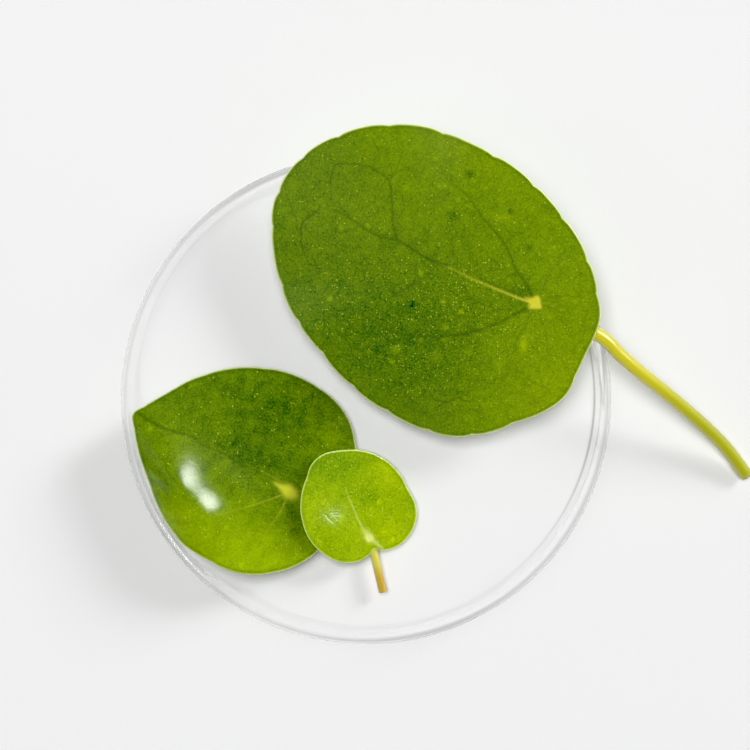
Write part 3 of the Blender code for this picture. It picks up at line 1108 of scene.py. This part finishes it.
@dataclass(frozen=True)
class MiddleLeaf(Leaf):
    """The pointed leaf that climbs the left wall.

    Uphill is a direction in plan. The climb is its slope, how far downhill of the attachment it begins, and
    the length over which it bends. The droop is how sharply it bends back, and where that begins.
    """

    lift: float = 3.85
    uphill: tuple = (-0.90, -0.43)
    climb: tuple = (0.31, 8.5, 3.5)
    droop: tuple = (0.035, 20.0)
    swell_middle: tuple = (-36.9, -18.2)
    swell_size: tuple = (5.0, 9.0)

    def height(self, x: np.ndarray, y: np.ndarray, share: np.ndarray) -> np.ndarray:
        """A sheet that bends up to a steady slope, swells below its main vein and droops at its left margin.

        The bend is the slope times the logarithm of one more than the exponential of the distance uphill.
        The droop is a square, and the swell is a bell a millimetre high.

        Args:
            x: Places across.
            y: Places up.
            share: Share of the way from the middle to the margin.

        Returns:
            Heights in millimetres.
        """
        (right, up), (slope, start, length) = self.uphill, self.climb
        uphill = right * (x - self.attachment[0]) + up * (y - self.attachment[1])
        climb = slope * length * np.logaddexp(0.0, (uphill + start) / length)
        droop = self.droop[0] * np.maximum(uphill - self.droop[1], 0.0) ** 2
        swell_x, swell_y = x - self.swell_middle[0], y - self.swell_middle[1]
        across = (right * swell_x + up * swell_y) / self.swell_size[0]
        along = (up * swell_x - right * swell_y) / self.swell_size[1]
        swell = np.exp(-across ** 2 - along ** 2)
        ripple = self.ripple(x - self.middle[0], y - self.middle[1])
        return self.lift + climb - droop + swell + ripple * share ** 3


@dataclass(frozen=True)
class SmallLeaf(Leaf):
    """The small pale leaf that lies on the middle leaf's right edge.

    The dish is how sharply it bends up, and how far right of its middle its lowest line lies. The crease is
    its bearing and its half width in degrees, and its depth.
    """

    lift: float = 3.5
    dish: tuple = (0.011, 13.2)
    fall: float = 0.03
    crease: tuple = (-72.0, 14.0, 0.5)

    def height(self, x: np.ndarray, y: np.ndarray, share: np.ndarray) -> np.ndarray:
        """A dished ramp, lowest at its right margin, with a crease down to the stalk.

        Args:
            x: Places across.
            y: Places up.
            share: Share of the way from the middle to the margin.

        Returns:
            Heights in millimetres.
        """
        dx, dy = x - self.middle[0], y - self.middle[1]
        bearing, width, depth = self.crease
        off_crease = (np.degrees(np.arctan2(dy, dx)) - bearing) / width
        crease = depth * np.exp(-off_crease ** 2)
        return self.lift + self.dish[0] * (dx - self.dish[1]) ** 2 - self.fall * dy - crease * share ** 2


def large_leaf() -> LargeLeaf:
    """Describe the large leaf.

    Returns:
        The leaf, ready to build.
    """
    return LargeLeaf(
        node="large_leaf", slot="large_leaf_green",
        finish=FreshLeaf("mid_green_leaf", deep="#527600", bright="#809C00", vein="#3A5C00", pale="#E6E03C",
                         rim="#E2F08C", stalk_near="#D5CD24", stalk_far="#B4B600", cut="#B9B45A",
                         grain_share=2.6, net_share=0.22),
        middle=(14.0, 24.0),
        reach=((0, 32.0), (14, 30.1), (30, 28.3), (60, 27.8), (75, 28.5), (97, 31.7), (120, 35.2),
               (140, 37.3), (152, 36.9), (170, 33.5), (190, 30.3), (212, 27.5), (225, 27.3),
               (250, 28.5), (280, 32.3), (300, 33.4), (319, 35.2), (333, 33.8), (348, 33.8)),
        notches=(8, 27, 45, 66, 88, 107, 124, 137, 150, 161, 181, 196, 212, 232, 250, 268, 284, 299, 326,
                 356),
        notch_depth=0.35,
        ripples=((5.0, 0.35, 0.6), (9.0, 0.2, 0.0)),
        attachment=(33.3, 19.8), stalk_radius=1.42,
        stalk_route=((36.2, 18.5, 17.95), (47.1, 13.3, 17.85), (51.6, 9.3, 17.0), (55.8, 5.7, 15.5),
                     (64.8, -1.3, 11.0), (74.1, -9.4, 5.4), (80.0, -16.4, 1.42)),
        veins=(
            Vein(((33.7, 19.7), (30.1, 21.0), (26.5, 22.5), (21.5, 24.6), (18.5, 26.1), (12.8, 28.5)),
                  width=0.26, groove=0.08, dark=0.0, pale=0.75, far=0.08),
            Vein(((33.0, 20.6), (30.3, 21.6), (26.7, 23.1), (21.7, 25.2)), width=0.26, groove=0.04,
                  dark=0.5),
            Vein(((16.1, 27.3), (12.8, 28.5), (6.3, 32.3), (1.5, 33.7), (-3.6, 37.1), (-6.4, 38.5),
                  (-9.5, 39.5)), width=0.38, groove=0.07, dark=0.8),
            Vein(((-9.5, 39.5), (-10.4, 38.1), (-13.0, 35.9), (-13.3, 32.3), (-12.6, 29.7), (-11.5, 27.9),
                  (-9.7, 26.8), (-6.8, 26.8))),
            Vein(((6.3, 32.3), (5.4, 34.9), (5.2, 37.1), (5.0, 40.6), (4.3, 44.5), (1.4, 46.7), (-0.7, 47.5),
                  (-4.2, 47.9), (-6.4, 47.6), (-7.1, 45.5), (-7.3, 43.7), (-7.1, 40.5), (-6.4, 38.5)),
                  far=0.8),
            Vein(((4.3, 44.5), (6.2, 46.2), (7.8, 46.6), (10.2, 46.6)), dark=0.3),
            Vein(((33.7, 20.4), (31.9, 23.9), (30.2, 26.1), (28.3, 30.5), (26.1, 33.7), (23.5, 36.6),
                  (20.0, 41.4), (17.6, 43.3), (16.8, 44.4), (16.6, 48.0)), width=0.34, dark=0.68),
            Vein(((27.7, 31.6), (29.5, 33.3), (31.5, 34.0), (34.6, 36.1)), dark=0.3),
            Vein(((16.0, 27.5), (17.3, 29.1), (17.3, 30.9), (17.1, 33.3)), dark=0.4),
            Vein(((32.3, 18.8), (29.2, 17.1), (27.1, 16.0), (23.8, 14.6), (20.6, 13.7), (17.3, 13.1),
                  (12.9, 12.9), (8.0, 13.3), (5.3, 13.9), (3.3, 15.0), (-0.9, 17.2), (-2.4, 18.4),
                  (-4.4, 20.4)), width=0.4, dark=0.7),
            Vein(((5.3, 21.2), (7.6, 22.5), (10.1, 23.9), (11.6, 26.1)), width=0.4, dark=0.55),
            Vein(((33.3, 18.2), (31.4, 14.2), (30.4, 12.4), (30.0, 10.7), (28.7, 6.6), (27.1, 2.7),
                  (25.1, 2.0)), dark=0.35),
            Vein(((19.8, 13.3), (19.1, 11.3), (18.9, 8.8), (18.7, 5.3), (18.6, 0.4)), dark=0.35),
            Vein(((13.9, -0.1), (16.4, -0.6), (18.6, 0.4), (20.3, -0.3), (22.5, -0.1)), width=0.22, far=1.0),
            Vein(((35.1, 20.4), (38.1, 21.0), (41.2, 21.2), (44.0, 20.8)), dark=0.2),
            Vein(((35.1, 19.4), (38.1, 17.4), (40.6, 14.4), (41.9, 11.1)), dark=0.2),
            Vein(((34.5, 18.6), (36.0, 14.4), (36.7, 9.9), (36.2, 5.8)), dark=0.2),
            Vein(((34.5, 21.2), (36.4, 25.3), (38.7, 28.9), (39.8, 31.7)), dark=0.2),
        ),
        tone=0.42,
        # The fourth oval is painted shade: it darkens the tissue just left of the hub, around the midrib.
        tone_and_shade_patches=ovals(
            ((42.0, 14.0), (14.0, 26.0), 15.0, 0.5), ((22.0, 50.0), (26.0, 10.0), -20.0, 0.4),
            ((6.0, 12.0), (20.0, 12.0), -20.0, -0.4), ((31.0, 21.6), (3.5, 2.5), 0.0, -0.45),
            ((33.0, -1.0), (14.0, 10.0), 10.0, 0.5), ((7.0, 38.0), (14.0, 8.0), 0.0, 0.15),
            ((28.0, 12.5), (6.0, 3.5), 25.0, 0.3), ((20.6, 45.7), (0.8, 0.8), 0.0, -0.8),
            ((17.3, 37.4), (0.9, 0.9), 0.0, -0.8), ((28.8, 38.1), (0.6, 0.6), 0.0, -0.8),
            ((32.5, 30.9), (0.7, 0.7), 0.0, -0.8), ((35.9, 39.1), (0.6, 0.6), 0.0, -0.5),
            ((9.2, 19.5), (0.9, 0.9), 0.0, -0.8), ((1.8, 9.9), (0.7, 0.7), 0.0, -0.6),
            ((6.0, 10.3), (1.2, 0.8), 0.0, 0.7), ((14.0, 8.8), (1.0, 1.0), 0.0, 0.6),
            ((31.7, 11.3), (0.7, 1.3), 0.0, 1.2), ((26.6, 7.5), (1.0, 1.0), 0.0, 0.5),
            ((27.2, 37.0), (1.6, 0.9), 0.0, 0.6)),
        relief_patches=(),
        pore_patches=ovals(
            ((16.0, 16.0), (20.0, 12.0), 0.0, 0.4)),
        pale_patches=ovals(
            ((33.8, 20.0), (1.1, 1.05), 0.0, 0.9), ((34.3, 20.9), (0.6, 0.6), 0.0, 0.35),
            ((34.8, 19.0), (0.6, 0.5), 0.0, 0.6), ((33.2, 18.9), (1.0, 0.45), 0.0, 0.45),
            ((32.3, 20.6), (1.2, 0.6), -30.0, 0.45), ((34.6, 20.0), (0.5, 0.8), 0.0, 0.35)),
        pore_share=0.12,
        rim_glow_width=0.36,
        rim_glow_strength=1.0,
        grid_steps=240,
    )


def middle_leaf() -> MiddleLeaf:
    """Describe the middle leaf.

    Returns:
        The leaf, ready to build.
    """
    return MiddleLeaf(
        node="middle_leaf", slot="middle_leaf_green",
        finish=FreshLeaf("deep_green_leaf", deep="#4A6B00", bright="#93AF00", vein="#375800", pale="#CDD232",
                         rim="#DDEB8C", stalk_near="#AEBB28", stalk_far="#A6AE28", cut="#B9B45A",
                         roughness=0.14, grain_share=1.2, relief=0.012 * MM, net_share=0.06,
                         blotch_share=0.32),
        middle=(-25.0, -15.0),
        reach=((0, 23.2), (28, 23.9), (60, 22.4), (90, 21.5), (120, 22.0), (135, 22.9), (146, 24.6),
               (152, 25.9), (158, 24.3), (170, 21.8), (182, 20.0), (195, 19.2), (212, 19.0),
               (228, 19.3), (242, 19.3), (270, 21.0), (300, 22.3), (330, 22.7)),
        notches=(15, 48, 80, 112, 152, 188, 222, 250, 285, 320),
        notch_depth=0.12,
        ripples=((4.0, 0.12, 1.0),),
        attachment=(-14.2, -19.2), stalk_radius=1.1,
        stalk_route=((-13.3, -21.2, 3.55), (-12.2, -23.8, 3.3), (-10.8, -26.6, 3.25)),
        veins=(
            Vein(((-46.9, -2.4), (-45.1, -3.8), (-42.9, -5.1), (-40.7, -6.1), (-38.5, -6.9), (-36.7, -7.4),
                  (-35.1, -8.0), (-34.1, -9.2), (-32.3, -9.9), (-28.9, -11.5), (-26.5, -13.2),
                  (-23.3, -14.5), (-19.8, -16.2), (-15.9, -18.3)), width=0.32, groove=0.02, dark=0.75,
                  far=0.6),
            Vein(((-15.9, -18.3), (-19.8, -16.0), (-23.3, -14.2), (-26.5, -12.9)), width=0.24, groove=0.0,
                  dark=0.0, pale=0.28, far=0.05),
            Vein(((-16.7, -16.9), (-20.2, -11.1), (-23.9, -6.5), (-25.8, -0.5), (-28.2, 0.4), (-30.4, 0.7),
                  (-31.7, 0.2), (-34.1, -2.2)), groove=0.0, dark=0.2),
            Vein(((-25.8, -0.5), (-26.4, 2.2), (-30.2, 3.1), (-33.2, 3.9), (-35.5, 4.0), (-38.2, 1.5)),
                  groove=0.02, dark=0.2),
            Vein(((-15.5, -16.9), (-14.7, -11.8), (-13.6, -6.6), (-14.0, -2.1), (-15.7, 0.8)), groove=0.02,
                  dark=0.15),
            Vein(((-17.1, -19.9), (-21.0, -21.2), (-24.9, -22.3), (-27.5, -23.0), (-30.0, -23.6),
                  (-31.2, -23.3), (-33.5, -22.1), (-36.0, -20.4)), width=0.22, groove=0.0, dark=0.0,
                  pale=0.28, far=0.1),
            Vein(((-16.5, -21.0), (-18.1, -24.0), (-20.2, -26.9), (-21.4, -29.9), (-21.2, -32.9)),
                  width=0.22, groove=0.0, dark=0.0, pale=0.22, far=0.05),
            Vein(((-18.6, -18.5), (-21.4, -16.7), (-23.9, -16.3), (-26.7, -16.6), (-29.6, -17.3),
                  (-32.4, -16.8), (-34.8, -16.8), (-38.0, -15.1)), groove=0.0, dark=0.15),
            Vein(((-14.2, -18.4), (-11.6, -14.9), (-8.4, -11.2), (-6.4, -8.8)), groove=0.02, dark=0.15),
        ),
        tone=0.2,
        # The last oval is painted shadow: it darkens the middle leaf just left of the small leaf, where that
        # leaf's shadow falls.
        tone_and_shade_patches=ovals(
            ((-24.0, -33.0), (20.0, 8.0), -15.0, 0.72), ((-39.0, -10.0), (6.0, 3.5), -50.0, 0.22),
            ((-7.0, -8.0), (3.5, 5.0), 20.0, 0.15), ((-18.0, -2.0), (12.0, 6.0), -15.0, -0.22),
            ((-22.0, -12.0), (8.0, 4.0), -25.0, -0.2), ((-38.5, -23.5), (4.5, 4.5), 0.0, 0.25),
            ((-28.0, -21.0), (7.0, 5.0), -20.0, 0.15), ((-14.5, -26.0), (3.0, 4.5), 0.0, -0.25)),
        relief_patches=ovals(
            ((-38.5, -18.5), (3.0, 7.0), 45.0, 0.55), ((-32.0, -24.0), (4.0, 4.0), 0.0, 0.6),
            ((-27.5, -18.0), (3.5, 7.5), 40.0, 0.3), ((-32.5, -28.0), (4.5, 4.5), 0.0, 0.45),
            ((-31.5, -29.5), (1.8, 1.8), 0.0, 0.12)),
        pore_patches=(),
        pale_patches=ovals(
            ((-15.9, -19.4), (2.3, 1.6), -40.0, 0.85), ((-18.4, -17.8), (1.7, 0.5), -32.0, 0.4)),
        pore_share=0.07,
        grid_steps=200,
    )


def small_leaf() -> SmallLeaf:
    """Describe the small leaf.

    Returns:
        The leaf, ready to build.
    """
    return SmallLeaf(
        node="small_leaf", slot="small_leaf_green",
        finish=FreshLeaf("bright_green_leaf", deep="#6E9400", bright="#A5BE00", vein="#6E8C00",
                         pale="#E6EC82", rim="#DDF27C", stalk_near="#D8D250", stalk_far="#C8A628",
                         cut="#D0A070", roughness=0.21, grain_share=2.0, grain_width=0.42 * MM,
                         net_share=0.06, relief=0.04 * MM),
        middle=(-1.5, -22.0),
        reach=((0, 11.9), (12, 11.0), (32, 10.6), (60, 10.7), (90, 11.2), (108, 11.8), (128, 12.9),
               (140, 12.9), (152, 12.3), (170, 12.1), (195, 12.2), (225, 12.5), (255, 12.6),
               (272, 11.9), (283, 10.9), (289, 10.2), (296, 11.0), (312, 12.2), (338, 12.7)),
        notches=(20, 62, 100, 150, 195, 240, 289, 325),
        notch_depth=0.08,
        attachment=(1.2, -29.9), stalk_radius=0.88,
        stalk_route=((1.6, -31.8, 3.1), (2.2, -34.2, 3.02), (2.9, -37.4, 3.02), (3.7, -40.7, 3.02)),
        veins=(
            Vein(((0.6, -29.1), (-1.5, -25.4), (-2.9, -22.0), (-3.9, -19.6), (-4.2, -17.8)), width=0.22,
                  groove=0.08, dark=0.0, pale=0.5, far=0.25),
            Vein(((0.9, -29.3), (2.4, -30.5), (3.8, -31.8)), width=0.5, groove=-0.05, dark=0.0, pale=0.7),
            Vein(((0.1, -29.1), (-2.8, -27.9), (-5.8, -26.4), (-8.6, -23.8), (-10.7, -20.9)), dark=0.2),
            Vein(((0.1, -29.7), (-3.3, -31.0), (-6.4, -31.7), (-9.1, -31.2)), dark=0.2),
            Vein(((1.7, -28.9), (3.8, -25.8), (5.5, -22.3), (6.3, -18.8)), dark=0.2),
            Vein(((2.2, -29.5), (5.5, -29.0), (8.0, -27.5), (9.5, -25.0)), dark=0.2),
        ),
        tone=0.6,
        # The first oval is painted shade: it darkens the upper left, where the middle leaf lies beneath and
        # lets less light shine through.
        tone_and_shade_patches=ovals(
            ((-8.0, -13.0), (8.0, 5.0), 0.0, -0.5), ((4.0, -29.0), (6.0, 4.0), 0.0, 0.35),
            ((4.5, -16.0), (3.0, 3.0), 0.0, 0.5), ((0.5, -20.5), (3.0, 3.0), 0.0, -0.3)),
        relief_patches=ovals(
            ((-6.8, -27.2), (3.5, 3.7), -15.0, 0.85)),
        pore_patches=(),
        pale_patches=ovals(
            ((0.9, -29.3), (0.75, 0.7), 0.0, 0.9), ((0.5, -28.6), (1.5, 0.8), -60.0, 0.33),
            ((-0.2, -28.0), (2.6, 1.7), -60.0, 0.22), ((-6.0, -23.5), (3.0, 4.0), 0.0, 0.08)),
        pore_share=0.25,
        rim_glow_width=0.36,
        rim_glow_strength=0.9,
        grid_steps=140,
    )


# The studio

class Lamp(Enum):
    """The lamps of the studio."""

    SOFTBOX = "softbox_right"
    SHEEN = "sheen_panel_right"
    LOW = "low_softbox_right"
    CEILING = "ceiling_fill"
    CARD = "bounce_card_left"


@dataclass(frozen=True)
class Studio:
    """White table, lamps on the right, a ceiling fill, a pale room and the camera.

    The softbox stands before a wider panel that only gives the leaves their sheen. The low softbox is taller
    and only lengthens the shadows.
    """

    table_radius: float = 4.0
    table_rings: tuple = (0.0, 0.05, 0.3, 1.0)
    table_sides: int = 96
    table_gap: float = 0.03 * MM
    camera_place: tuple = (-9.5 * MM, 23.1 * MM, 550.0 * MM)
    camera_aim: tuple = (2.05 * MM, 4.6 * MM, 0.0)
    lens: float = 126.0
    sensor: float = 36.0
    nearest: float = 0.01
    softbox_bearing: float = 36.0
    softbox_elevation: float = 36.0
    softbox_distance: float = 3.0
    softbox_size: tuple = (0.62, 0.6)
    softbox_power: float = 19.0
    sheen_size: tuple = (0.85, 0.8)
    sheen_power: float = 44.0
    low_bearing: float = 34.0
    low_elevation: float = 27.0
    low_size: tuple = (0.7, 1.1)
    low_power: float = 23.5
    ceiling_place: tuple = (-0.2, 0.3, 2.4)
    ceiling_size: tuple = (0.8, 0.8)
    ceiling_power: float = 44.0
    card_place: tuple = (-0.89, -0.24, 1.18)
    card_size: tuple = (0.5, 0.5)
    card_power: float = 0.6
    horizon: float = 0.9
    zenith: float = 0.01
    dimming: tuple = (0.0, 0.4)
    walls_in_glass: float = 0.85
    ceiling_in_glass: float = 1.0
    glass_dimming: tuple = (0.1, 0.6)
    bounces: int = 64

    def table(self) -> bpy.types.Object:
        """Lay the table: level rings from the middle outwards, a hair under the dish so no faces coincide.

        Returns:
            The table.
        """
        angle = np.linspace(0.0, 2.0 * math.pi, self.table_sides, endpoint=False)
        radius = self.table_radius * np.array(self.table_rings)[:, None]
        flat = np.full((len(self.table_rings), self.table_sides), -self.table_gap)
        rings = np.stack([radius * np.cos(angle), radius * np.sin(angle), flat], -1)
        shell = Shell([])
        shell.add(rings, wrap=True)
        mesh = shell.mesh("table_top")
        if mesh.polygons[0].normal.z < 0.0:
            mesh.flip_normals()
        mesh.materials.append(TableTop().make())
        table = bpy.data.objects.new("table_top", mesh)
        bpy.context.scene.collection.objects.link(table)
        return table

    @staticmethod
    def aim(place: tuple, target: tuple) -> Matrix:
        """Stand at a place and look at a target, with +Y as near to up as it can be.

        Args:
            place: Where to stand.
            target: What to look at.

        Returns:
            The matrix that does this.
        """
        back = (Vector(place) - Vector(target)).normalized()
        side = Vector((0.0, 1.0, 0.0)).cross(back).normalized()
        up = back.cross(side)
        turned = Matrix((side, up, back)).transposed().to_4x4()
        turned.translation = Vector(place)
        return turned

    def towards(self, bearing: float, elevation: float) -> tuple:
        """Find a place at the softboxes' distance from the dish.

        Args:
            bearing: Its bearing in degrees, from +X towards +Y.
            elevation: Its height over the table in degrees.

        Returns:
            The place in metres.
        """
        turn, rise = math.radians(bearing), math.radians(elevation)
        level = self.softbox_distance * math.cos(rise)
        return level * math.cos(turn), level * math.sin(turn), self.softbox_distance * math.sin(rise)

    def lamp(self, which: Lamp, place: tuple, size: tuple, power: float) -> bpy.types.Object:
        """Hang one lamp that faces the dish.

        Args:
            which: The lamp.
            place: Where it hangs.
            size: Its width and height.
            power: Its power in watts.

        Returns:
            The lamp.
        """
        data = bpy.data.lights.new(which.value, "AREA")
        data.shape = "RECTANGLE"
        data.size, data.size_y = size
        data.energy = power
        lamp = bpy.data.objects.new(which.value, data)
        lamp.matrix_world = self.aim(place, (0.0, 0.0, 0.0))
        lamp.visible_camera = False
        lamp.visible_diffuse = which is not Lamp.SHEEN
        lamp.visible_glossy = which not in (Lamp.CEILING, Lamp.LOW)
        lamp.visible_transmission = False
        bpy.context.scene.collection.objects.link(lamp)
        return lamp

    def room(self) -> None:
        """Pale room: bright at the level of the table and dim overhead, except as seen in the glass.

        Rays that a clear surface mirrors or bends see plain pale walls and ceiling. The leaves' duller sheen
        sees the dim overhead, as it does under a polarising filter.
        """
        world = bpy.data.worlds.new("pale_room")
        world.use_nodes = True
        tree = world.node_tree
        tree.nodes.clear()
        direction = add_node(tree, "ShaderNodeTexCoord").outputs["Generated"]
        parts = add_node(tree, "ShaderNodeSeparateXYZ", {}, {0: direction})
        dim = add_node(tree, "ShaderNodeMapRange", {"interpolation_type": "SMOOTHSTEP"}, {
            "Value": parts.outputs["Z"], "From Min": self.dimming[0], "From Max": self.dimming[1],
            "To Min": self.horizon, "To Max": self.zenith})
        path = add_node(tree, "ShaderNodeLightPath")
        in_glass = add_node(tree, "ShaderNodeMath", {"operation": "MAXIMUM"}, {
            0: path.outputs["Is Singular Ray"], 1: path.outputs["Is Transmission Ray"]})
        walls = add_node(tree, "ShaderNodeMapRange", {"interpolation_type": "SMOOTHSTEP"}, {
            "Value": parts.outputs["Z"], "From Min": self.glass_dimming[0],
            "From Max": self.glass_dimming[1], "To Min": self.walls_in_glass,
            "To Max": self.ceiling_in_glass})
        strength = add_node(tree, "ShaderNodeMix", {"data_type": "FLOAT"}, {
            "Factor": in_glass.outputs[0], "A": dim.outputs[0], "B": walls.outputs[0]})
        sky = add_node(tree, "ShaderNodeBackground", {}, {
            "Color": (1.0, 1.0, 1.0, 1.0), "Strength": strength.outputs["Result"]})
        add_node(tree, "ShaderNodeOutputWorld", {}, {"Surface": sky.outputs[0]})
        bpy.context.scene.world = world

    def camera(self) -> bpy.types.Object:
        """Hang the camera almost straight above the dish, as the photograph was taken.

        Returns:
            The camera.
        """
        data = bpy.data.cameras.new("overhead_camera")
        data.sensor_width = self.sensor
        data.lens = self.lens
        data.clip_start = self.nearest
        camera = bpy.data.objects.new("overhead_camera", data)
        camera.matrix_world = self.aim(self.camera_place, self.camera_aim)
        bpy.context.scene.collection.objects.link(camera)
        bpy.context.scene.camera = camera
        return camera

    def build(self) -> None:
        """Set up the whole studio.

        Light in the dish's wall bounces many times between its faces, so the paths are long.
        """
        self.table()
        softbox = self.towards(self.softbox_bearing, self.softbox_elevation)
        self.lamp(Lamp.SOFTBOX, softbox, self.softbox_size, self.softbox_power)
        self.lamp(Lamp.SHEEN, softbox, self.sheen_size, self.sheen_power)
        self.lamp(Lamp.LOW, self.towards(self.low_bearing, self.low_elevation), self.low_size, self.low_power)
        self.lamp(Lamp.CEILING, self.ceiling_place, self.ceiling_size, self.ceiling_power)
        self.lamp(Lamp.CARD, self.card_place, self.card_size, self.card_power)
        self.room()
        self.camera()
        paths = bpy.context.scene.cycles
        paths.max_bounces = self.bounces
        paths.glossy_bounces = self.bounces
        paths.transmission_bounces = self.bounces
        view = bpy.context.scene.view_settings
        view.view_transform = "Standard"
        view.look = "None"


def main() -> None:
    """Build the studio, the dish and the leaves."""
    logging.basicConfig(level=logging.INFO, format="%(name)s: %(message)s")
    Studio().build()
    GlassDish().build()
    for leaf in (large_leaf(), middle_leaf(), small_leaf()):
        leaf.build()


if __name__ == "__main__":
    main()
